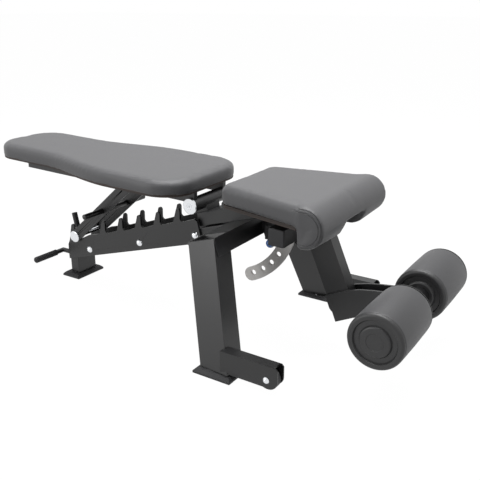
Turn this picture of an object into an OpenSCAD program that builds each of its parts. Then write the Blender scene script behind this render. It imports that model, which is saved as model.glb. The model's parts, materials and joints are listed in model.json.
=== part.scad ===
// Adjustable weight bench: flat-to-upright back pad on a notched ladder, tilting seat, leg-hold
// rollers and transport wheels. +X points to the rollers, +Z is up, the origin is on the floor
// under the middle of the bench. Everything is in millimetres.

/* [Back pad] */
// Distance from the head end of the back pad to the middle of the bench
pad_head_x = 746; // [720:1:780]
// Half width of the back pad at the head
pad_half_head = 134; // [110:1:160]
// Half width of the back pad beside the seat
pad_half_seat = 190; // [165:1:210]
// Thickness of the upholstered back pad above its board
pad_t = 40; // [30:1:60]
// Upward slope of the back pad towards the head when it is flat
pad_slope = 1.3; // [0:0.1:3]

/* [Seat] */
// Height of the seat top above the floor
seat_top = 455; // [430:1:480]
// Half width of the seat at its rear edge
seat_half_rear = 142; // [110:1:170]
// Half width of the seat at its front roll
seat_half_front = 205; // [180:1:230]
// Angle between two stops of the tilting seat
seat_step = 10; // [6:0.5:10]

/* [Ladder] */
// Slope of the ladder and of the lower spine
ladder_slope = 17; // [15:0.5:19]
// Number of open slots after the flat-bench notch
slot_count = 6; // [4:1:6]
// Horizontal distance between two slots
slot_pitch = 78.4; // [74:0.1:80]
// Width of one slot
slot_w = 54; // [48:1:56]
// Thickness of the ladder plates
plate_t = 7; // [5:1:7]

/* [Rollers] */
// Diameter of one foam roller
roller_d = 143; // [110:1:150]
// Length of one foam roller
roller_len = 206; // [170:1:220]
// Free gap between the two rollers
roller_gap = 100; // [96:1:120]
// Height of the roller axle above the floor
roller_z = 184; // [160:1:200]

/* [Legs] */
// Width of a leg tube seen from the side
leg_w = 90; // [70:1:95]
// Depth of a leg tube across the bench
leg_t = 69; // [45:1:72]
// Diameter of a transport wheel
wheel_d = 58; // [50:1:60]

/* [Hidden] */
$fn = 64;

black = "#1d1d1f";
rubber = "#262628";
chrome = "#d8dadd";
vinyl = "#3f4042";
blue = "#1f5a9c";

wall = 3;
gap = 0.3;                 // clearance between curved faces of different bodies
run = 0.05;                // radial running clearance of a shaft in its hole
tan_s = tan(ladder_slope);
cos_s = cos(ladder_slope);
sin_s = sin(ladder_slope);

// Half widths from the mid plane outwards: spine, ladder plate, strut plate, back rail
spine_half = 41;
plate_in = 49;
plate_out = plate_in + plate_t;
strut_in = 57;
strut_out = 63.5;
rail_in = 65.5;
rail_out = 80.5;

foot_h = 14;
post_x0 = -505;
post_x1 = -468;
plate_x0 = -494;           // rear end of the ladder plates
post_half = 41;
spine_x0 = -503;           // rear end of the lower spine, over the rear post

handle_x = -556;
handle_z = 80;
handle_r = 8;
handle_arm = 26;           // the arms leave the post this far from the mid plane
handle_end = 150;
peg_x = -484;

bolt0 = [-392, 123];       // rearmost ladder bolt
bolt_us = [0, 236, 468];   // places of the three bolts along the slope
spine_h = 40;
spine_end_u = 598;         // where the lower spine meets the crossbeam
spine_v = -2.5;            // middle of the lower spine below the bolt line
beam_v = 22.5;             // top face of the crossbeam above the bolt line

slot0 = [-364.7, 182];
slot_rise = slot_pitch * tan_s;
tooth_r = 7.5;
tooth_h = 47;
tooth_lean = 5;
floor_r = 9;
pin_r = 8;
flat_pin = [-447.5, 162];  // strut pin in the flat-bench notch

back_pivot = [63, 359];
shaft_r = 10;
sleeve_r = 21;
strut_top = [-190, 377];
strut_w = 39;
strut_pivot_r = 5;
bar_at = [-314, 274.5];    // carrying bar through the strut plates
bar_r = 8.5;

rail_z0 = 9;               // back rail above the pivot, in the pad's own slope
rail_z1 = 41;
board_t = 9;
rail_x0 = -628;
pad_tail = 19;             // pad and board reach this far past the back pivot
pad_corner = 98;
pad_head_corner = 90;
flare_from = -500;
flare_to = -170;

seat_pivot = [166, 372];
seat_sleeve_r = 12;
arc_r = 209;
arc_first = -13.2;         // direction of the engaged hole seen from the seat pivot
arc_holes = 6;
arc_hole_r = 7.5;
arc_in = 18;
arc_out = 23;
arc_y0 = -52;
arc_y1 = -45;
seat_bottom = 391;
seat_rear = 198;
seat_front = 494;
roll_r = 54;
roll_back = 473;
notch_half = 60;
seat_pivot_r = 8;
seat_rail_in = 42;
seat_rail_out = 57;
bar_x0 = 380;
bar_w = 46;
bar_top = 377;
bar_half = 175;

beam_t = 50;
beam_half = 244;
leg_bottom = [310.6, -290.6, foot_h];
leg_top = [216.7, -208, 332];

post_dir = [0.403, 0, -0.915];
post_end = [508.5, 172.5];      // middle of the line where the arms start
post_w = 70;
arm_in = 21;
arm_out = 28;
roller_front = 783;
roller_x = roller_front - roller_d / 2;
// The pad slope draws its head end 1.3 mm in, so half of that is added
mid_x = (roller_front - pad_head_x) / 2 + 0.67;
axle_r = 12.5;
hub_r = 26;
roller_in = roller_gap / 2;
roller_out = roller_in + roller_len;
cap_t = 9;

wheel_x = 467.5;
wheel_z = 40;
wheel_y = -309.5;
wheel_w = 22;
bracket_t = 3.5;
bracket_top = 80;
bracket_y0 = -326;
bracket_y1 = -293;
bolt_r = 5;

pin_shank_r = 6;
knob_r = 12;
pin_at = [seat_pivot[0] + arc_r * cos(arc_first), seat_pivot[1] + arc_r * sin(arc_first)];

// ---- shared shapes ----

function arc(c, r, a0, a1, n) =
  [for (i = [0:n]) [c[0] + r * cos(a0 + (a1 - a0) * i / n), c[1] + r * sin(a0 + (a1 - a0) * i / n)]];

function ladder_at(u, v) =
  [bolt0[0] + u * cos_s - v * sin_s, bolt0[1] + u * sin_s + v * cos_s];

// Sets the middle of the bench over the origin
module placed() {
  translate([-mid_x, 0, 0]) children();
}

// An outline drawn in X and Z, given its thickness from y0 to y1
module side_plate(y0, y1) {
  translate([0, y1, 0]) rotate([90, 0, 0]) linear_extrude(y1 - y0) children();
}

module rod_y(x, z, r, y0, y1) {
  translate([x, y1, z]) rotate([90, 0, 0]) cylinder(h = y1 - y0, r = r);
}

module both_sides() {
  children();
  mirror([0, 1, 0]) children();
}

// Block from corner a to corner b
module block(a, b) {
  translate(a) cube(b - a);
}

// Everything in children is drawn along the ladder slope, with bolt0 at the origin
module on_ladder() {
  translate([bolt0[0], 0, bolt0[1]]) rotate([0, -ladder_slope, 0]) children();
}

// Everything in children is drawn level, and then given the back pad's slope
module on_pad() {
  translate([back_pivot[0], 0, back_pivot[1]]) rotate([0, pad_slope, 0]) children();
}

// Foot plate with a bevelled upper edge
module foot(x0, x1, y0, y1, bevel) {
  lip = foot_h * 0.45;
  intersection() {
    translate([0, y1, 0]) rotate([90, 0, 0]) linear_extrude(y1 - y0)
      polygon([[x0, 0], [x1, 0], [x1, lip], [x1 - bevel, foot_h], [x0 + bevel, foot_h], [x0, lip]]);
    translate([x0, 0, 0]) rotate([90, 0, 90]) linear_extrude(x1 - x0)
      polygon([[y0, 0], [y1, 0], [y1, lip], [y1 - bevel, foot_h], [y0 + bevel, foot_h], [y0, lip]]);
  }
}

// Domed bolt head standing out along +Z
module dome(r, h) {
  ball = (r * r + h * h) / (2 * h);
  intersection() {
    translate([0, 0, h - ball]) sphere(ball);
    cylinder(h = h, r = r);
  }
}

// ---- rear support ----

module rear_foot() {
  color(rubber) placed() foot(-529, -452, -62, 62, 8);
}

module rear_post() {
  top = 90;
  color(black) placed() difference() {
    block([post_x0, -post_half, foot_h], [post_x1, post_half, top]);
    block([post_x0 + wall, -post_half + wall, foot_h - 1], [post_x1 - wall, post_half - wall, top + 1]);
    on_ladder() block([-200, -100, spine_v - spine_h / 2], [100, 100, 200]);
  }
}

function slot_points(k) =
  let (x = slot0[0] + slot_pitch * k, z = slot0[1] + slot_rise * k, h = slot_w / 2)
  concat(
    k == 0 ? [[-393, 174]] : arc([x - h + floor_r, z - h * tan_s + floor_r], floor_r, 180, 270, 5),
    k == slot_count - 1 ? [] : arc([x + h - floor_r, z + (h - floor_r) * tan_s + floor_r], floor_r, 285, 360, 5)
  );

function tooth_points(k) =
  let (x = slot0[0] + slot_pitch * (k + 0.5) + tooth_lean, z = slot0[1] + slot_rise * k + tooth_h)
  arc([x, z], tooth_r, 180, 0, 9);

function ladder_outline() = concat(
  [[plate_x0, ladder_at(-98, -26)[1]], ladder_at(440, -26), ladder_at(488, -8), ladder_at(490, 40), ladder_at(482, 48)],
  [for (i = [0:slot_count - 1])
    let (k = slot_count - 1 - i)
    each concat(
      [for (j = [len(slot_points(k)) - 1:-1:0]) slot_points(k)[j]],
      k == 0 ? [] : [for (j = [9:-1:0]) tooth_points(k - 1)[j]]
    )],
  [[-434, 152.5]],
  arc(flat_pin, pin_r + 1, -60, -180, 5),
  arc([-465, 193], tooth_r, 0, 180, 7),
  [[-485, 140], [plate_x0, 122]]
);

module ladder_plate() {
  difference() {
    side_plate(plate_in, plate_out) polygon(ladder_outline());
    for (u = bolt_us) {
      rod_y(ladder_at(u, 0)[0], ladder_at(u, 0)[1], bolt_r + run, plate_in - 1, plate_out + 1);
    }
  }
}

module ladder_plate_left() {
  color(black) placed() mirror([0, 1, 0]) ladder_plate();
}

module ladder_plate_right() {
  color(black) placed() ladder_plate();
}

module spine_tube() {
  z0 = spine_v - spine_h / 2;
  z1 = spine_v + spine_h / 2;
  color(black) placed() difference() {
    on_ladder() block([-200, -plate_in, z0], [spine_end_u, plate_in, z1]);
    on_ladder() block([-200, -plate_in + wall, z0 + wall], [spine_end_u + 1, plate_in - wall, z1 - wall]);
    block([spine_x0 - 200, -plate_in - 1, -100], [spine_x0, plate_in + 1, 300]);
    for (u = bolt_us) {
      rod_y(ladder_at(u, 0)[0], ladder_at(u, 0)[1], bolt_r + run, -plate_in - 1, plate_in + 1);
    }
  }
}

module ladder_bolts() {
  color(chrome) placed() both_sides() for (u = bolt_us) {
    p = ladder_at(u, 0);
    rod_y(p[0], p[1], bolt_r, plate_in - wall - 4, plate_out);
    translate([p[0], plate_out, p[1]]) rotate([-90, 0, 0]) dome(11.5, 7);
  }
}

// Rear carrying handle: two short arms out of the post, bent into a grip on each side
module rear_handle() {
  color(black) placed() both_sides() {
    translate([handle_x, handle_arm, handle_z]) rotate([0, 90, 0]) cylinder(h = post_x0 - handle_x, r = handle_r);
    translate([handle_x, handle_arm, handle_z]) sphere(handle_r);
    rod_y(handle_x, handle_z, handle_r, handle_arm, handle_end - 12);
    translate([post_x0 - 8, handle_arm, handle_z]) rotate([0, 90, 0]) cylinder(h = 8, r = handle_r + 4);
  }
}

module rear_handle_grips() {
  r = handle_r + 2.5;
  color(rubber) placed() both_sides() difference() {
    union() {
      rod_y(handle_x, handle_z, r, handle_arm + 34, handle_end);
      translate([handle_x, handle_end, handle_z]) rotate([-90, 0, 0]) dome(r, 6);
    }
    rod_y(handle_x, handle_z, handle_r, handle_arm, handle_end - 12);
  }
}

// Band peg that leans back out of the rear end of the spine
module peg_rod() {
  color(black) placed() difference() {
    translate([peg_x, 0, 90]) rotate([0, -12, 0]) cylinder(h = 116, r = 7);
    on_ladder() block([-200, -20, -60], [100, 20, spine_v + spine_h / 2]);
  }
}

module peg_cap() {
  color(rubber) placed() translate([peg_x, 0, 90]) rotate([0, -12, 0]) difference() {
    translate([0, 0, 84]) cylinder(h = 48, r = 9.5);
    translate([0, 0, 82]) cylinder(h = 34, r = 7);
  }
}

// ---- front support ----

// The leg tube's own frame: +Z runs up the tube from the middle of its foot
module on_leg() {
  run_z = leg_top[2] - leg_bottom[2];
  lean = atan2(leg_bottom[0] - leg_top[0], run_z);
  splay = atan2((leg_top[1] - leg_bottom[1]) * cos(lean), run_z);
  translate(leg_bottom) rotate([-splay, -lean, 0]) children();
}

module leg_core(inset) {
  w = leg_w * 0.958 / 2 - inset;
  t = leg_t / 2 - inset;
  on_leg() block([-w, -t, -90], [w, t, 460]);
}

module front_crossbeam() {
  color(black) placed() difference() {
    on_ladder() block([spine_end_u, -beam_half, beam_v - beam_t], [spine_end_u + leg_w, beam_half, beam_v]);
    on_ladder() block([spine_end_u + wall, -beam_half - 1, beam_v - beam_t + wall], [spine_end_u + leg_w - wall, beam_half + 1, beam_v - wall]);
    both_sides() leg_core(0);
    both_sides() on_leg() block([-90, -90 - leg_t / 2, 0], [90, -leg_t / 2 + 1, 460]);
  }
}

module front_leg() {
  intersection() {
    difference() {
      leg_core(0);
      leg_core(wall);
    }
    block([0, -500, foot_h], [600, 0, 420]);
    on_ladder() block([300, -600, -600], [1100, 0, beam_v]);
  }
}

module front_leg_left() {
  color(black) placed() front_leg();
}

module front_leg_right() {
  color(black) placed() mirror([0, 1, 0]) front_leg();
}

module front_foot_left() {
  color(rubber) placed() foot(252, 369, -341, -242, 8);
}

module front_foot_right() {
  color(rubber) placed() mirror([0, 1, 0]) foot(252, 369, -341, -242, 8);
}

module foot_screws() {
  color(chrome) placed() both_sides() translate([315, -250, foot_h]) dome(3.2, 1.8);
}

module wheel_bracket() {
  module outline() {
    difference() {
      polygon(concat([[330, bracket_top], [330, 20]], arc([wheel_x + 10, 43], 23, 270, 360, 6),
        [[wheel_x + 33, bracket_top - 6], [wheel_x + 27, bracket_top]]));
      translate([wheel_x, wheel_z]) circle(bolt_r + run);
    }
  }
  difference() {
    union() {
      side_plate(bracket_y0, bracket_y0 + bracket_t) outline();
      side_plate(bracket_y1 - bracket_t, bracket_y1) outline();
      block([330, bracket_y0, bracket_top - bracket_t], [wheel_x + 22, bracket_y1, bracket_top]);
    }
    leg_core(0);
    on_leg() block([-200, -90, -90], [0, 90, 300]);
  }
}

module wheel_bracket_left() {
  color(black) placed() wheel_bracket();
}

module wheel_bracket_right() {
  color(black) placed() mirror([0, 1, 0]) wheel_bracket();
}

module wheel_axles() {
  color(chrome) placed() both_sides() {
    rod_y(wheel_x, wheel_z, bolt_r, bracket_y0, bracket_y1 + 6);
    translate([wheel_x, bracket_y0, wheel_z]) rotate([90, 0, 0]) dome(9, 5);
    translate([wheel_x, bracket_y1, wheel_z]) rotate([-90, 0, 0]) cylinder(h = 5, r = 8, $fn = 6);
  }
}

module wheel() {
  r = wheel_d / 2;
  h = wheel_w / 2;
  translate([wheel_x, wheel_y, wheel_z]) rotate([90, 0, 0]) rotate_extrude()
    polygon([[bolt_r + run, -h], [12, -h], [14, -h + 3], [20, -h + 3], [22, -h], [r - 3, -h], [r, -h + 3],
      [r, h - 3], [r - 3, h], [22, h], [20, h - 3], [14, h - 3], [12, h], [bolt_r + run, h]]);
}

module wheel_left() {
  color(rubber) placed() wheel();
}

module wheel_right() {
  color(rubber) placed() mirror([0, 1, 0]) wheel();
}

// ---- upper spine and the two pivots ----

module upper_spine() {
  z1 = beam_v + 40;
  color(black) placed() on_ladder() difference() {
    block([484, -spine_half, beam_v], [690, spine_half, z1]);
    block([483, -spine_half + wall, beam_v + wall], [691, spine_half - wall, z1 - wall]);
  }
}

// Lug plates that stand on the upper spine, with a sleeve for the shaft
module pivot_lug(at, sleeve, bore, half, foot_w) {
  top_v = beam_v + 40;
  difference() {
    union() {
      rod_y(at[0], at[1], sleeve, -half, half);
      intersection() {
        side_plate(-half + 6, half - 6) polygon([
          [at[0] - sleeve * 0.9, at[1]], [at[0] + sleeve * 0.9, at[1]],
          [at[0] + foot_w, at[1] - 60], [at[0] - foot_w, at[1] - 60]]);
        on_ladder() block([300, -100, top_v], [900, 100, top_v + 90]);
      }
    }
    rod_y(at[0], at[1], bore, -half - 1, half + 1);
  }
}

module back_pivot_lug() {
  color(black) placed() pivot_lug(back_pivot, sleeve_r, shaft_r, 38, 32);
}

module seat_pivot_lug() {
  color(black) placed() pivot_lug(seat_pivot, seat_sleeve_r, seat_pivot_r, seat_rail_in - 2, 22);
}

module back_pivot_shaft() {
  color(chrome) placed() rod_y(back_pivot[0], back_pivot[1], shaft_r, -rail_out - 2, rail_out + 2);
}

module back_pivot_caps() {
  color(chrome) placed() both_sides() translate([back_pivot[0], rail_out + 2, back_pivot[1]]) rotate([-90, 0, 0])
    rotate_extrude() polygon([[0, 0], [22, 0], [24, 1.5], [24, 4], [22, 5.5], [9.5, 5.5], [9, 4.5], [7.5, 4.5],
      [7, 5.5], [3, 5.5], [3, 3], [0, 3]]);
}

module seat_pivot_shaft() {
  color(black) placed() rod_y(seat_pivot[0], seat_pivot[1], seat_pivot_r, -seat_rail_out, seat_rail_out);
}

module seat_spine() {
  z0 = 285;
  z1 = 330.5;
  color(black) placed() difference() {
    block([180, -20, z0], [480, 20, z1]);
    block([179, -20 + wall, z0 + wall], [481, 20 - wall, z1 - wall]);
    on_ladder() block([300, -60, -100], [spine_end_u + leg_w, 60, beam_v]);
    on_ladder() block([300, -60, beam_v], [690, 60, beam_v + 40]);
    on_post() block([-post_w / 2, -60, -400], [post_w / 2 + 200, 60, 300]);
  }
}

// Drawn with +Z up the sloping roller post, from the middle of its lower end
module on_post() {
  translate([post_end[0], 0, post_end[1]]) rotate([0, -atan2(post_dir[0], -post_dir[2]), 0]) children();
}

module roller_post() {
  color(black) placed() intersection() {
    on_post() difference() {
      block([-post_w / 2, -arm_in, -52], [post_w / 2, arm_in, 260]);
      block([-post_w / 2 + wall, -arm_in + wall, -53], [post_w / 2 - wall, arm_in - wall, 261]);
    }
    block([200, -100, 0], [700, 100, 330.5]);
  }
}

module roller_arm() {
  end_r = 26;
  difference() {
    side_plate(arm_in, arm_out) polygon(concat(
      [[476.5, 157], [491, 122], [496, 116.5], [500, 113.5], [511, 86.5], [573, 117.5]],
      [[612, 128], [655, 143]],
      arc([roller_x, roller_z], end_r, -68, 100, 12),
      [for (t = [0.2:0.2:0.8]) [roller_x - 6 - t * (roller_x - 549), 211 - 21 * t * t]],
      [[541, 188]]
    ));
    rod_y(roller_x, roller_z, axle_r, arm_in - 1, arm_out + 1);
  }
}

module roller_arm_left() {
  color(black) placed() mirror([0, 1, 0]) roller_arm();
}

module roller_arm_right() {
  color(black) placed() roller_arm();
}

module roller_hub() {
  color(black) placed() difference() {
    union() {
      rod_y(roller_x, roller_z, hub_r, -arm_in, arm_in);
      rod_y(roller_x, roller_z, hub_r, arm_out, roller_in - 0.5);
      rod_y(roller_x, roller_z, hub_r, -roller_in + 0.5, -arm_out);
    }
    rod_y(roller_x, roller_z, axle_r, -60, 60);
  }
}

module roller_axle() {
  color(chrome) placed() rod_y(roller_x, roller_z, axle_r, -roller_out + 12, roller_out - 12);
}

module roller_foam() {
  r = roller_d / 2;
  difference() {
    rod_y(roller_x, roller_z, r, roller_in + cap_t, roller_out - cap_t);
    rod_y(roller_x, roller_z, axle_r + run, roller_in, roller_out);
  }
}

module roller_foam_left() {
  color(vinyl) placed() mirror([0, 1, 0]) roller_foam();
}

module roller_foam_right() {
  color(vinyl) placed() roller_foam();
}

// One moulded end cap, its face towards +Z
module roller_cap(closed) {
  r = roller_d / 2;
  core = closed ? 0 : axle_r + run;
  rotate_extrude() difference() {
    polygon(concat(
      [[core, 0], [r - 0.5, 0]],
      arc([r - cap_t + 0.5, 0], cap_t - 1, 0, 90, 8),
      [[56, cap_t - 1.5], [53, 2.5], [41, 2.5], [38, 7], [35, 8.5], [22.5, 8.5], [21, 7], [core, 7]]
    ));
    if (closed) {
      translate([0, -1]) square([axle_r + run, 3]);
    }
  }
}

module roller_caps() {
  translate([roller_x, roller_out - cap_t, roller_z]) rotate([-90, 0, 0]) roller_cap(true);
  translate([roller_x, roller_in + cap_t, roller_z]) rotate([90, 0, 0]) roller_cap(false);
}

module roller_caps_left() {
  color(rubber) placed() mirror([0, 1, 0]) roller_caps();
}

module roller_caps_right() {
  color(rubber) placed() roller_caps();
}

// ---- seat pull pin ----

// Pull pin for the seat, drawn here pulled out and clear of the arc plate
module pin_housing() {
  x1 = pin_at[0] + 9;
  color(black) placed() difference() {
    union() {
      block([305, -66, 314], [x1, -60, pin_at[1] + 14]);
      block([305, -60, 300], [325, -20, 325]);
      block([305, -66, 300], [325, -60, 314]);
      rod_y(pin_at[0], pin_at[1], 10.5, -96, -59);
      rod_y(pin_at[0], pin_at[1], 10.9, -78, -60);
    }
    rod_y(pin_at[0], pin_at[1], pin_shank_r + run, -100, -50);
  }
}

module pop_pin() {
  color(chrome) placed() rod_y(pin_at[0], pin_at[1], pin_shank_r, -138, arc_y0 - 1);
}

module pin_knob() {
  color(blue) placed() difference() {
    union() {
      translate([pin_at[0], -146, pin_at[1]]) sphere(knob_r);
      rod_y(pin_at[0], pin_at[1], 8, -140, -126);
    }
    rod_y(pin_at[0], pin_at[1], pin_shank_r, -138, -100);
  }
}

// ---- back pad ----

// Half width of the pad at x, an S-curve between the narrow head and the wide seat end
function pad_half(x) =
  let (t = min(1, max(0, (x - flare_from) / (flare_to - flare_from))), s = t * t * (3 - 2 * t))
  pad_half_head + (pad_half_seat - pad_half_head) * s;

function pad_edge(inset) =
  let (x0 = -pad_head_x - back_pivot[0] + inset, x1 = pad_tail - inset, r0 = pad_head_corner - inset, r1 = pad_corner - inset)
  concat(
    arc([x0 + r0, pad_half_head - inset - r0], r0, 180, 90, 10),
    [for (i = [0:16]) let (x = flare_from + (flare_to - flare_from) * i / 16) [x - back_pivot[0], pad_half(x) - inset]],
    arc([x1 - r1, pad_half_seat - inset - r1], r1, 90, 0, 10)
  );

module pad_plan(inset) {
  upper = pad_edge(inset);
  polygon(concat(upper, [for (i = [len(upper) - 1:-1:0]) [upper[i][0], -upper[i][1]]]));
}

module back_board() {
  color("#2b2320") placed() on_pad() translate([0, 0, rail_z1]) linear_extrude(board_t) pad_plan(5);
}

module back_pad() {
  z0 = rail_z1 + board_t;
  color(vinyl) placed() on_pad() union() {
    translate([0, 0, z0]) linear_extrude(pad_t - 9) pad_plan(0);
    translate([0, 0, z0 + pad_t - 9]) linear_extrude(5) pad_plan(4);
    translate([0, 0, z0 + pad_t - 4]) linear_extrude(4) pad_plan(12);
  }
}

module back_rail() {
  difference() {
    union() {
      on_pad() difference() {
        block([rail_x0 - back_pivot[0], rail_in, rail_z0], [12, rail_out, rail_z1]);
        block([rail_x0 - back_pivot[0] - 1, rail_in + wall, rail_z0 + wall], [-40, rail_out - wall, rail_z1 - wall]);
      }
      rod_y(back_pivot[0], back_pivot[1], sleeve_r, 38 + gap, rail_out - 1);
    }
    rod_y(back_pivot[0], back_pivot[1], shaft_r + run, 30, rail_out + 5);
    rod_y(strut_top[0], strut_top[1] + 6, strut_pivot_r, rail_in - 1, rail_out + 1);
  }
}

module back_rail_left() {
  color(black) placed() mirror([0, 1, 0]) back_rail();
}

module back_rail_right() {
  color(black) placed() back_rail();
}

module back_crosspieces() {
  color(black) placed() on_pad() for (x = [rail_x0 - back_pivot[0] + 4, -330, -110]) {
    block([x, -rail_in, rail_z1 - 25], [x + 25, rail_in, rail_z1]);
  }
}

module strut_pivots() {
  color(chrome) placed() both_sides() {
    rod_y(strut_top[0], strut_top[1] + 6, strut_pivot_r, 48, rail_out);
    translate([strut_top[0], rail_out, strut_top[1] + 6]) rotate([-90, 0, 0]) dome(11, 5);
  }
}

// ---- strut ----

module strut_plate() {
  top = [strut_top[0], strut_top[1] + 6];
  dir = atan2(top[1] - flat_pin[1], top[0] - flat_pin[0]);
  len = norm(top - flat_pin);
  difference() {
    side_plate(strut_in, strut_out) translate(flat_pin) rotate(dir) union() {
      translate([0, -strut_w / 2]) square([len, strut_w]);
      circle(strut_w / 2);
      translate([len, 0]) circle(strut_w / 2);
    }
    rod_y(top[0], top[1], strut_pivot_r + run, strut_in - 1, strut_out + 1);
    rod_y(flat_pin[0], flat_pin[1], pin_r, strut_in - 1, strut_out + 1);
    rod_y(bar_at[0], bar_at[1], bar_r, strut_in - 1, strut_out + 1);
  }
}

module strut_plate_left() {
  color(black) placed() mirror([0, 1, 0]) strut_plate();
}

module strut_plate_right() {
  color(black) placed() strut_plate();
}

module strut_pin() {
  color(chrome) placed() rod_y(flat_pin[0], flat_pin[1], pin_r, -strut_out, strut_out);
}

module strut_pin_caps() {
  color(chrome) placed() both_sides() translate([flat_pin[0], strut_out, flat_pin[1]]) rotate([-90, 0, 0])
    rotate_extrude() polygon(concat([[0, 0], [20, 0], [20, 3]], arc([16, 3], 4, 0, 90, 5), [[0, 7.5]]));
}

module strut_bar() {
  color(black) placed() union() {
    rod_y(bar_at[0], bar_at[1], bar_r, -142, 142);
    both_sides() translate([bar_at[0], 142, bar_at[1]]) rotate([-90, 0, 0]) dome(bar_r, 3);
  }
}

// ---- seat ----

module seat_plan(inset) {
  r = 28 - inset / 2;
  corner = [seat_rear + inset + r, seat_half_rear - inset - r];
  upper = concat(arc(corner, r, 180, 102, 8), [[seat_front, seat_half_front - inset]]);
  polygon(concat(upper, [for (i = [len(upper) - 1:-1:0]) [upper[i][0], -upper[i][1]]]));
}

module seat_board() {
  color("#2b2320") placed() translate([0, 0, seat_bottom]) linear_extrude(board_t) intersection() {
    seat_plan(6);
    translate([0, -300]) square([roll_back - 6, 600]);
  }
}

module seat_pad() {
  z0 = seat_bottom + board_t;
  color(vinyl) placed() difference() {
    union() {
      translate([0, 0, z0]) linear_extrude(seat_top - z0 - 10) seat_plan(0);
      translate([0, 0, seat_top - 10]) linear_extrude(10) seat_plan(8);
      intersection() {
        rod_y(seat_front - 1, seat_top - roll_r, roll_r, -seat_half_front, seat_half_front);
        block([roll_back, -seat_half_front, 300], [600, seat_half_front, seat_top]);
      }
    }
    block([roll_back - 1, -notch_half, 300], [600, notch_half, z0 - 10]);
    block([roll_back - 40, -seat_half_front, z0 - 30], [roll_back, seat_half_front, z0]);
  }
}

module seat_rail() {
  difference() {
    union() {
      block([seat_pivot[0], seat_rail_in, bar_top], [430, seat_rail_out, seat_bottom]);
      rod_y(seat_pivot[0], seat_pivot[1], seat_sleeve_r, seat_rail_in, seat_rail_out);
    }
    rod_y(seat_pivot[0], seat_pivot[1], seat_pivot_r + run, 20, 80);
  }
}

module seat_rail_left() {
  color(black) placed() mirror([0, 1, 0]) seat_rail();
}

module seat_rail_right() {
  color(black) placed() seat_rail();
}

module seat_crossbar() {
  color(black) placed() difference() {
    block([bar_x0, -bar_half, bar_top - bar_w], [bar_x0 + bar_w, bar_half, bar_top]);
    block([bar_x0 + wall, -bar_half - 1, bar_top - bar_w + wall], [bar_x0 + bar_w - wall, bar_half + 1, bar_top - wall]);
  }
}

module crossbar_plugs() {
  color(rubber) placed() both_sides() union() {
    block([bar_x0 + wall, bar_half - 14, bar_top - bar_w + wall], [bar_x0 + bar_w - wall, bar_half, bar_top - wall]);
    block([bar_x0 + 0.5, bar_half, bar_top - bar_w + 0.5], [bar_x0 + bar_w - 0.5, bar_half + 3, bar_top - 0.5]);
  }
}

module seat_arc_plate() {
  last = arc_first - seat_step * (arc_holes - 1);
  outer = arc_r + arc_out;
  inner = arc_r - arc_in;
  mid = (outer + inner) / 2;
  color("#e6e4e1") placed() difference() {
    side_plate(arc_y0, arc_y1) translate(seat_pivot) polygon(concat(
      [[bar_x0 - seat_pivot[0], bar_top - seat_pivot[1]]],
      arc([0, 0], outer, -12, last - 3, 24),
      arc([mid * cos(last - 3), mid * sin(last - 3)], (outer - inner) / 2, last - 3, last - 183, 10),
      arc([0, 0], inner, last - 3, -3, 24)
    ));
    block([bar_x0, arc_y0 - 1, bar_top - bar_w], [600, arc_y1 + 1, bar_top + 30]);
    block([300, arc_y0 - 1, bar_top], [600, arc_y1 + 1, bar_top + 30]);
    for (i = [0:arc_holes - 1]) {
      a = arc_first - seat_step * i;
      rod_y(seat_pivot[0] + arc_r * cos(a), seat_pivot[1] + arc_r * sin(a), arc_hole_r, arc_y0 - 1, arc_y1 + 1);
    }
  }
}

rear_foot();
rear_post();
ladder_plate_left();
ladder_plate_right();
spine_tube();
ladder_bolts();
rear_handle();
rear_handle_grips();
peg_rod();
peg_cap();
front_crossbeam();
front_leg_left();
front_leg_right();
front_foot_left();
front_foot_right();
foot_screws();
wheel_bracket_left();
wheel_bracket_right();
wheel_axles();
wheel_left();
wheel_right();
upper_spine();
back_pivot_lug();
back_pivot_shaft();
back_pivot_caps();
seat_pivot_lug();
seat_pivot_shaft();
seat_spine();
roller_post();
roller_arm_left();
roller_arm_right();
roller_hub();
roller_axle();
roller_foam_left();
roller_foam_right();
roller_caps_left();
roller_caps_right();
pin_housing();
pop_pin();
pin_knob();
back_board();
back_pad();
back_rail_left();
back_rail_right();
back_crosspieces();
strut_pivots();
strut_plate_left();
strut_plate_right();
strut_pin();
strut_pin_caps();
strut_bar();
seat_board();
seat_pad();
seat_rail_left();
seat_rail_right();
seat_crossbar();
crossbar_plugs();
seat_arc_plate();
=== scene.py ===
import json
import math

import bmesh
import bpy
from mathutils import Matrix, Vector


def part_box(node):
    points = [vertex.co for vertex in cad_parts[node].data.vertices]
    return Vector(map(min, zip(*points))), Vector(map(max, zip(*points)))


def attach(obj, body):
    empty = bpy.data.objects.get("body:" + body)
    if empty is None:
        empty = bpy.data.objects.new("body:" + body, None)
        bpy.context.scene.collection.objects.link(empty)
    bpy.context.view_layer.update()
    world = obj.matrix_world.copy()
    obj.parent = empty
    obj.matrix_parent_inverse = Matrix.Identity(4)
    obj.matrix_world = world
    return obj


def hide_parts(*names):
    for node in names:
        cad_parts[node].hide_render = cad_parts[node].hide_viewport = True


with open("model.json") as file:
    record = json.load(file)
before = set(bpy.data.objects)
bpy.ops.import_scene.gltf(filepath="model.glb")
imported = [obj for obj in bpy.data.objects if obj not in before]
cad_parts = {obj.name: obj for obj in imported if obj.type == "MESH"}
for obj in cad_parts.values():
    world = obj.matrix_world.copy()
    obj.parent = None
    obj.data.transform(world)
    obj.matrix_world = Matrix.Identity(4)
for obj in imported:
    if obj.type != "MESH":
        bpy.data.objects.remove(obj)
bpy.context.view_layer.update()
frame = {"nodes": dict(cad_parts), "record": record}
mm = 0.001
print("frame loaded,", len(frame["nodes"]), "CAD nodes")


# ---- materials ----

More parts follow.
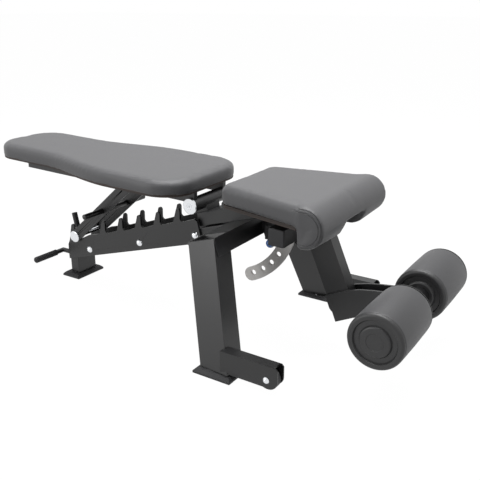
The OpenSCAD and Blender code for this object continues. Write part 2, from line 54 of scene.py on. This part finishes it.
def linear(hexColour):
    channels = [int(hexColour[i:i + 2], 16) / 255 for i in (1, 3, 5)]
    return [c / 12.92 if c <= 0.04045 else ((c + 0.055) / 1.055) ** 2.4 for c in channels] + [1]


def addNode(tree, kind, settings=None, **inputs):
    # an input is a value, or the output socket that feeds it; _ in a name stands for a space
    node = tree.nodes.new(kind)
    for name, value in (settings or {}).items():
        setattr(node, name, value)
    for name, value in inputs.items():
        key = int(name[1:]) if name[0] == "i" and name[1:].isdigit() else name.replace("_", " ")
        if isinstance(value, bpy.types.NodeSocket):
            tree.links.new(value, node.inputs[key])
        else:
            node.inputs[key].default_value = value
    return node


def surface(name, values):
    # a shader with its fixed values, and a tree and coordinates for its patterns
    material = bpy.data.materials.new(name)
    material.use_nodes = True
    tree = material.node_tree
    shader = tree.nodes["Principled BSDF"]
    shader.inputs["Base Color"].default_value = linear(values["colour"])
    shader.inputs["Roughness"].default_value = values["roughness"]
    shader.inputs["Metallic"].default_value = values.get("metallic", 0)
    shader.inputs["IOR"].default_value = values.get("ior", 1.5)
    shader.inputs["Coat Weight"].default_value = values.get("coat", 0)
    shader.inputs["Coat Roughness"].default_value = values.get("coatRoughness", 0.1)
    shader.inputs["Sheen Weight"].default_value = values.get("sheen", 0)
    shader.inputs["Sheen Roughness"].default_value = values.get("sheenRoughness", 0.5)
    place = addNode(tree, "ShaderNodeTexCoord").outputs["Object"]
    return material, tree, shader, place


def varyRoughness(tree, shader, pattern, low, high):
    span = addNode(tree, "ShaderNodeMapRange", Value=pattern, To_Min=low, To_Max=high)
    tree.links.new(span.outputs["Result"], shader.inputs["Roughness"])


def varyColour(tree, shader, pattern, dark, light):
    mix = addNode(tree, "ShaderNodeMix", {"data_type": "RGBA"}, i0=pattern, i6=linear(dark), i7=linear(light))
    tree.links.new(mix.outputs[2], shader.inputs["Base Color"])


def raise_(tree, shader, height, depth, strength=1.0, below=None):
    bump = addNode(tree, "ShaderNodeBump", Height=height, Distance=depth, Strength=strength)
    if below is not None:
        tree.links.new(below.outputs["Normal"], bump.inputs["Normal"])
    tree.links.new(bump.outputs["Normal"], shader.inputs["Normal"])
    return bump


# Polyester powder coat, sprayed and baked: a satin black skin with a fine orange peel
powderCoat = {"colour": "#1a1a1b", "roughness": 0.38, "ior": 1.5, "peelMm": 1.6, "peelDepthMm": 0.03}


def makePowderCoat():
    material, tree, shader, place = surface("powderCoatSatinBlack", powderCoat)
    peel = addNode(tree, "ShaderNodeTexNoise", Vector=place, Scale=1 / (powderCoat["peelMm"] * mm), Detail=3.0)
    cloud = addNode(tree, "ShaderNodeTexNoise", Vector=place, Scale=1 / (90 * mm), Detail=2.0)
    varyRoughness(tree, shader, cloud.outputs["Fac"], 0.32, 0.44)
    varyColour(tree, shader, cloud.outputs["Fac"], "#171718", "#1e1e1f")
    raise_(tree, shader, peel.outputs["Fac"], powderCoat["peelDepthMm"] * mm)
    return material


# Chromium plate on turned steel: near-white mirror, softened by turning marks
chromePlate = {"colour": "#dfe1e4", "roughness": 0.16, "metallic": 1, "turnMm": 1.4}


def makeChrome():
    material, tree, shader, place = surface("chromePlatedSteel", chromePlate)
    haze = addNode(tree, "ShaderNodeTexNoise", Vector=place, Scale=1 / (6 * mm), Detail=3.0)
    varyRoughness(tree, shader, haze.outputs["Fac"], 0.1, 0.24)
    marks = addNode(tree, "ShaderNodeTexNoise", Vector=place, Scale=1 / (chromePlate["turnMm"] * mm), Detail=1.0)
    raise_(tree, shader, marks.outputs["Fac"], 0.01 * mm)
    return material


# Zinc plate under a pale clear lacquer: an even, nearly white metal sheet
brightPlate = {"colour": "#f4f1ee", "roughness": 0.32, "metallic": 0, "grainMm": 1.5}


def makeBrightPlate():
    material, tree, shader, place = surface("palePlatedSheet", brightPlate)
    grain = addNode(tree, "ShaderNodeTexNoise", Vector=place, Scale=1 / (brightPlate["grainMm"] * mm), Detail=2.0)
    varyRoughness(tree, shader, grain.outputs["Fac"], 0.3, 0.46)
    varyColour(tree, shader, grain.outputs["Fac"], "#ece9e6", "#f7f4f1")
    raise_(tree, shader, grain.outputs["Fac"], 0.015 * mm)
    return material


# Moulded SBR rubber: dull black with a fine sparked mould texture
mouldedRubber = {"colour": "#242426", "roughness": 0.72, "ior": 1.52, "sparkMm": 1.1}


def makeRubber():
    material, tree, shader, place = surface("mouldedRubberBlack", mouldedRubber)
    spark = addNode(tree, "ShaderNodeTexNoise", Vector=place, Scale=1 / (mouldedRubber["sparkMm"] * mm), Detail=2.0)
    dust = addNode(tree, "ShaderNodeTexNoise", Vector=place, Scale=1 / (40 * mm), Detail=3.0)
    varyColour(tree, shader, dust.outputs["Fac"], "#1e1e20", "#2d2d2f")
    varyRoughness(tree, shader, dust.outputs["Fac"], 0.64, 0.8)
    raise_(tree, shader, spark.outputs["Fac"], 0.02 * mm)
    return material


# Injection-moulded ABS: dark grey with an even, slightly glossy mould texture
mouldedAbs = {"colour": "#252526", "roughness": 0.46, "ior": 1.53, "textureMm": 1.3}


def makeAbs():
    material, tree, shader, place = surface("mouldedAbsDark", mouldedAbs)
    texture = addNode(tree, "ShaderNodeTexNoise", Vector=place, Scale=1 / (mouldedAbs["textureMm"] * mm), Detail=2.0)
    varyRoughness(tree, shader, texture.outputs["Fac"], 0.4, 0.54)
    varyColour(tree, shader, texture.outputs["Fac"], "#222223", "#2a2a2b")
    raise_(tree, shader, texture.outputs["Fac"], 0.04 * mm)
    return material


# Glossy dyed nylon: saturated blue with a hard highlight
blueKnob = {"colour": "#1f5fa8", "roughness": 0.2, "ior": 1.53, "coat": 0.4, "coatRoughness": 0.08, "flowMm": 9}


def makeBlueKnob():
    material, tree, shader, place = surface("glossyBlueNylon", blueKnob)
    flow = addNode(tree, "ShaderNodeTexNoise", Vector=place, Scale=1 / (blueKnob["flowMm"] * mm), Detail=1.0)
    varyColour(tree, shader, flow.outputs["Fac"], "#1c579c", "#2266b2")
    varyRoughness(tree, shader, flow.outputs["Fac"], 0.16, 0.26)
    return material


# Black-stained birch plywood: thin plies show along the edge
plywood = {"colour": "#2b2320", "roughness": 0.66, "ior": 1.45, "plyMm": 1.5}


def makePlywood():
    material, tree, shader, place = surface("stainedBirchPlywood", plywood)
    plies = addNode(tree, "ShaderNodeTexWave", {"bands_direction": "Z"}, Vector=place,
                    Scale=1 / (plywood["plyMm"] * mm * 20), Distortion=1.0, Detail=2.0)
    varyColour(tree, shader, plies.outputs["Fac"], "#241d1a", "#3a302b")
    raise_(tree, shader, plies.outputs["Fac"], 0.05 * mm)
    return material


# Calendered PVC on knit backing, embossed with a leather grain: matte, with small rounded pebbles
vinylCover = {"roughness": 0.52, "ior": 1.5, "sheen": 0.12, "sheenRoughness": 0.5, "grainMm": 2.2, "grainDepthMm": 0.11}


def makeVinyl(name, colour, dark, light, seams=None):
    material, tree, shader, place = surface(name, dict(vinylCover, colour=colour))
    pebbles = addNode(tree, "ShaderNodeTexVoronoi", {"feature": "SMOOTH_F1"}, Vector=place,
                      Scale=1 / (vinylCover["grainMm"] * mm), Smoothness=0.6)
    pores = addNode(tree, "ShaderNodeTexNoise", Vector=place, Scale=1 / (1.0 * mm), Detail=2.0)
    handled = addNode(tree, "ShaderNodeTexNoise", Vector=place, Scale=1 / (110 * mm), Detail=3.0)
    varyColour(tree, shader, handled.outputs["Fac"], dark, light)
    varyRoughness(tree, shader, handled.outputs["Fac"], 0.46, 0.6)
    grain = addNode(tree, "ShaderNodeMath", {"operation": "MULTIPLY_ADD"}, i0=pebbles.outputs["Distance"], i1=-1.0,
                    i2=pores.outputs["Fac"])
    below = raise_(tree, shader, grain.outputs["Value"], vinylCover["grainDepthMm"] * mm)
    if seams is not None:
        raise_(tree, shader, seams(tree, place), 3 * mm, below=below)
    return material


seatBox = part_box("seat_pad")
rollRadius = (seatBox[1].z - seatBox[0].z) / 2
rollCentre = (seatBox[1].x - rollRadius, seatBox[1].z - rollRadius)
sideSeams = {"firstMm": 6, "stepMm": 7, "widthMm": 1.6}   # two sewn creases inside the edge of the seat's roll


def rollSeams(tree, place):
    axes = addNode(tree, "ShaderNodeSeparateXYZ", Vector=place)
    dx = addNode(tree, "ShaderNodeMath", {"operation": "SUBTRACT"}, i0=axes.outputs["X"], i1=rollCentre[0]).outputs[0]
    dz = addNode(tree, "ShaderNodeMath", {"operation": "SUBTRACT"}, i0=axes.outputs["Z"], i1=rollCentre[1]).outputs[0]
    ahead = addNode(tree, "ShaderNodeMath", {"operation": "MAXIMUM"}, i0=dx, i1=0.0).outputs[0]
    flat = addNode(tree, "ShaderNodeCombineXYZ", X=ahead, Y=dz)
    reach = addNode(tree, "ShaderNodeVectorMath", {"operation": "LENGTH"}, i0=flat.outputs[0]).outputs["Value"]
    grooves = None
    for i in range(2):
        radius = rollRadius - (sideSeams["firstMm"] + i * sideSeams["stepMm"]) * mm
        off = addNode(tree, "ShaderNodeMath", {"operation": "SUBTRACT"}, i0=reach, i1=radius).outputs[0]
        off = addNode(tree, "ShaderNodeMath", {"operation": "ABSOLUTE"}, i0=off).outputs[0]
        line = addNode(tree, "ShaderNodeMapRange", {"interpolation_type": "SMOOTHSTEP"}, Value=off,
                       From_Min=0.0, From_Max=sideSeams["widthMm"] * mm, To_Min=0.0, To_Max=1.0).outputs["Result"]
        grooves = line if grooves is None else addNode(
            tree, "ShaderNodeMath", {"operation": "MINIMUM"}, i0=grooves, i1=line).outputs[0]
    side = addNode(tree, "ShaderNodeMath", {"operation": "ABSOLUTE"}, i0=axes.outputs["Y"]).outputs[0]
    onTop = addNode(tree, "ShaderNodeMath", {"operation": "LESS_THAN"}, i0=side, i1=seatBox[1].y - 14 * mm).outputs[0]
    return addNode(tree, "ShaderNodeMath", {"operation": "MAXIMUM"}, i0=grooves, i1=onTop).outputs[0]


slotMaterials = {
    "powder_coat": makePowderCoat(), "chrome": makeChrome(), "bright_plate": makeBrightPlate(),
    "rubber": makeRubber(), "black_plastic": makeAbs(), "blue_plastic": makeBlueKnob(), "plywood": makePlywood(),
}
backVinyl = makeVinyl("embossedVinylBack", "#4b4b4d", "#474749", "#505052")
seatVinyl = makeVinyl("embossedVinylSeat", "#4b4b4d", "#474749", "#505052", rollSeams)
rollerVinyl = makeVinyl("embossedVinylRoller", "#363638", "#323234", "#3b3b3d")
slotMaterials["vinyl"] = backVinyl
slotOf = {s["node"]: s["material_slot"] for s in frame["record"]["subparts"]}
for name, node in frame["nodes"].items():
    node.data.materials.clear()
    node.data.materials.append(slotMaterials[slotOf[name]])
print("materials made")


# ---- rounded edges on the tubes, plates and feet ----

edgeRounding = {"tubeMm": 2.2, "plateMm": 0.9, "footMm": 1.6, "segments": 3, "angle": 38}
tubes = ["rear_post", "spine_tube", "front_crossbeam", "front_leg_left", "front_leg_right", "upper_spine",
         "seat_spine", "roller_post", "seat_crossbar", "crossbar_plugs", "back_crosspieces"]
plates = ["ladder_plate_left", "ladder_plate_right", "strut_plate_left", "strut_plate_right",
          "roller_arm_left", "roller_arm_right", "seat_arc_plate"]
feet = ["rear_foot", "front_foot_left", "front_foot_right"]


def roundEdges(node, width):
    weld = node.modifiers.new("mergeCorners", "WELD")
    weld.merge_threshold = 0.01 * mm
    bevel = node.modifiers.new("roundEdges", "BEVEL")
    bevel.width = width * mm
    bevel.segments = edgeRounding["segments"]
    bevel.limit_method = "ANGLE"
    bevel.angle_limit = math.radians(edgeRounding["angle"])
    bevel.harden_normals = False
    for face in node.data.polygons:
        face.use_smooth = True
    node.modifiers.new("evenShading", "WEIGHTED_NORMAL")


for names, width in ((tubes, edgeRounding["tubeMm"]), (plates, edgeRounding["plateMm"]), (feet, edgeRounding["footMm"])):
    for name in names:
        roundEdges(frame["nodes"][name], width)
print("edges rounded")


# ---- helpers for the new pieces ----

def newPiece(name, mesh, body, slotName, material, *nodes):
    piece = bpy.data.objects.new(name, mesh)
    bpy.context.scene.collection.objects.link(piece)
    mesh.materials.clear()
    mesh.materials.append(material)
    for face in mesh.polygons:
        face.use_smooth = True
    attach(piece, body)
    if nodes:
        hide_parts(*nodes)
    return piece


def meshFrom(bm, name):
    mesh = bpy.data.meshes.new(name)
    bm.to_mesh(mesh)
    bm.free()
    return mesh


def evaluatedMesh(piece):
    graph = bpy.context.evaluated_depsgraph_get()
    return bpy.data.meshes.new_from_object(piece.evaluated_get(graph))


# ---- cushions: the foam block is remeshed, rounded, blown up as cloth and held to its board ----

backCushion = {"voxelMm": 5, "shrinkMm": 1, "roundPasses": 3, "pressure": 4, "swellMm": 2.5, "fill": 0.85, "skirtMm": 8}
seatCushion = {"voxelMm": 5, "shrinkMm": 1, "roundPasses": 3, "pressure": 4, "swellMm": 2.5, "fill": 0.85, "skirtMm": 1}


def makeCushion(name, node, body, material, values):
    low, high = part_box(node)
    centre = (low + high) / 2
    bm = bmesh.new()
    bm.from_mesh(frame["nodes"][node].data)
    bmesh.ops.remove_doubles(bm, verts=bm.verts, dist=0.01 * mm)
    size = high - low
    shrink = Vector([1 - 2 * values["shrinkMm"] * mm / s for s in size])
    bmesh.ops.translate(bm, verts=bm.verts, vec=-centre)
    bmesh.ops.scale(bm, verts=bm.verts, vec=shrink)
    bmesh.ops.translate(bm, verts=bm.verts, vec=centre)
    worker = bpy.data.objects.new(name + "Worker", meshFrom(bm, name + "Worker"))
    bpy.context.scene.collection.objects.link(worker)
    remesh = worker.modifiers.new("voxels", "REMESH")
    remesh.mode = "VOXEL"
    remesh.voxel_size = values["voxelMm"] * mm
    remeshed = evaluatedMesh(worker)
    worker.modifiers.clear()
    bm = bmesh.new()
    bm.from_mesh(remeshed)
    for step in range(values["roundPasses"]):
        bmesh.ops.smooth_vert(bm, verts=bm.verts, factor=0.5, use_axis_x=True, use_axis_y=True, use_axis_z=True)
    bm.to_mesh(remeshed)
    bm.free()
    worker.data = remeshed
    rest = [v.co.copy() for v in remeshed.vertices]
    swollen = rest
    cloth = worker.modifiers.new("cover", "CLOTH")
    cloth.settings.use_pressure = True
    cloth.settings.uniform_pressure_force = values["pressure"]
    cloth.settings.effector_weights.gravity = 0
    cloth.collision_settings.use_collision = False
    for step in range(1, 21):
        bpy.context.scene.frame_set(step)
        puffed = worker.evaluated_get(bpy.context.evaluated_depsgraph_get()).data
    swollen = [v.co.copy() for v in puffed.vertices]
    worker.modifiers.clear()
    limit = values["swellMm"] * mm
    for vertex, start, end in zip(remeshed.vertices, rest, swollen):
        move = end - start
        if move.length > limit:
            move = move * (limit / move.length)
        vertex.co = start + move
    skirt = values["skirtMm"] * mm   # the cover is drawn down over the board's edge
    for vertex in remeshed.vertices:
        vertex.co.z -= skirt * min(1, max(0, (high.z - vertex.co.z) / (0.6 * size.z)))
    mesh = remeshed.copy()
    bpy.data.objects.remove(worker)
    piece = newPiece(name, mesh, body, "vinyl", material, node)
    finish = piece.modifiers.new("finish", "SUBSURF")
    finish.levels = finish.render_levels = 1
    print("cushion", name, len(mesh.vertices), "vertices")
    return piece


makeCushion("backCushion", "back_pad", "back", backVinyl, backCushion)
makeCushion("seatCushion", "seat_pad", "seat", seatVinyl, seatCushion)
bpy.context.scene.frame_set(1)


# ---- foam rollers: a lathed sleeve of covered foam, pulled in at both lips ----

foamRoller = {"lipMm": 7, "lipSteps": 6, "crownMm": 0.8, "boreMm": 12.6, "turns": 96, "fill": 0.9}


def makeRoller(name, node, body):
    low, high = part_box(node)
    radius = (high.x - low.x) / 2
    centre = Vector(((low.x + high.x) / 2, 0, (low.z + high.z) / 2))
    lip = foamRoller["lipMm"] * mm
    half = (high.y - low.y) / 2
    bm = bmesh.new()
    profile = [(foamRoller["boreMm"] * mm, -half)]
    for i in range(foamRoller["lipSteps"] + 1):
        a = math.pi / 2 * i / foamRoller["lipSteps"]
        profile.append((radius - lip + lip * math.sin(a), -half + lip - lip * math.cos(a)))
    profile.append((radius + foamRoller["crownMm"] * mm, 0))
    profile += [(r, -y) for r, y in reversed(profile[:-1])]
    verts = [bm.verts.new((r, y, 0)) for r, y in profile]
    edges = [bm.edges.new((verts[i], verts[(i + 1) % len(verts)])) for i in range(len(verts))]
    bmesh.ops.spin(bm, geom=verts + edges, cent=(0, 0, 0), axis=(0, 1, 0), angle=2 * math.pi,
                   steps=foamRoller["turns"], use_merge=True, use_duplicate=False)
    bmesh.ops.remove_doubles(bm, verts=bm.verts, dist=0.01 * mm)
    bmesh.ops.recalc_face_normals(bm, faces=bm.faces)
    bmesh.ops.translate(bm, verts=bm.verts, vec=centre + Vector((0, (low.y + high.y) / 2, 0)))
    piece = newPiece(name, meshFrom(bm, name), body, "vinyl", rollerVinyl, node)
    return piece


makeRoller("foamRollerLeft", "roller_foam_left", "roller_left")
makeRoller("foamRollerRight", "roller_foam_right", "roller_right")
print("rollers made")


# ---- floor, light and camera ----

studio = {"floorHalf": 40.0, "keyWatts": 42, "topWatts": 140, "fillWatts": 3, "world": 0.05, "floorWhite": 0.9, "floorGlow": 1.1}


def makeFloor():
    bm = bmesh.new()
    bmesh.ops.create_grid(bm, x_segments=1, y_segments=1, size=studio["floorHalf"])
    floor = bpy.data.objects.new("floor", meshFrom(bm, "floor"))
    bpy.context.scene.collection.objects.link(floor)
    material = bpy.data.materials.new("paleStudioFloor")
    material.use_nodes = True
    tree = material.node_tree
    tree.nodes.clear()
    paint = addNode(tree, "ShaderNodeBsdfDiffuse", Color=linear("#a8a8a8"))
    glow = addNode(tree, "ShaderNodeEmission", Color=(1, 1, 1, 1), Strength=studio["floorGlow"])
    path = addNode(tree, "ShaderNodeLightPath")
    direct = addNode(tree, "ShaderNodeMath", {"operation": "MAXIMUM"}, i0=path.outputs["Is Camera Ray"],
                     i1=path.outputs["Is Transmission Ray"])
    shown = addNode(tree, "ShaderNodeMath", {"operation": "MAXIMUM"}, i0=direct.outputs[0],
                    i1=path.outputs["Is Glossy Ray"])
    seen = addNode(tree, "ShaderNodeMath", {"operation": "MULTIPLY"}, i0=shown.outputs[0], i1=studio["floorWhite"])
    mix = addNode(tree, "ShaderNodeMixShader", i0=seen.outputs[0], i1=paint.outputs[0], i2=glow.outputs[0])
    addNode(tree, "ShaderNodeOutputMaterial", Surface=mix.outputs[0])
    floor.data.materials.append(material)


def makeWorld():
    world = bpy.data.worlds.new("studio")
    bpy.context.scene.world = world
    world.use_nodes = True
    tree = world.node_tree
    tree.nodes.clear()
    path = addNode(tree, "ShaderNodeLightPath")
    camera = addNode(tree, "ShaderNodeMath", {"operation": "MAXIMUM"}, i0=path.outputs["Is Camera Ray"],
                     i1=path.outputs["Is Transmission Ray"])
    shown = addNode(tree, "ShaderNodeMath", {"operation": "MAXIMUM"}, i0=camera.outputs[0],
                    i1=path.outputs["Is Glossy Ray"])
    strength = addNode(tree, "ShaderNodeMapRange", Value=shown.outputs[0], To_Min=studio["world"], To_Max=1.0)
    air = addNode(tree, "ShaderNodeBackground", Color=(1, 1, 1, 1), Strength=strength.outputs["Result"])
    addNode(tree, "ShaderNodeOutputWorld", Surface=air.outputs[0])


def addLamp(name, place, target, size, watts):
    data = bpy.data.lights.new(name, "AREA")
    data.shape = "SQUARE"
    data.size = size
    data.energy = watts
    lamp = bpy.data.objects.new(name, data)
    bpy.context.scene.collection.objects.link(lamp)
    lamp.location = place
    lamp.rotation_euler = (Vector(target) - Vector(place)).to_track_quat("-Z", "Y").to_euler()


def addCamera():
    data = bpy.data.cameras.new("camera")
    data.lens = 50
    data.sensor_width = 36
    camera = bpy.data.objects.new("camera", data)
    bpy.context.scene.collection.objects.link(camera)
    camera.location = (1.1709, -1.5548, 0.92)
    camera.rotation_euler = (math.radians(90 - 19.8), 0, math.radians(33))
    bpy.context.scene.camera = camera


makeFloor()
makeWorld()
addLamp("keyLight", (-1.9, -3.0, 1.1), (0, 0, 0.25), 1.8, studio["keyWatts"])
addLamp("topLight", (0.1, 0.3, 3.0), (0, 0, 0.3), 2.4, studio["topWatts"])
addLamp("fillLight", (3.0, -0.6, 1.4), (0.2, 0, 0.3), 1.6, studio["fillWatts"])
addCamera()
bpy.context.scene.view_settings.view_transform = "Standard"
print("studio ready")
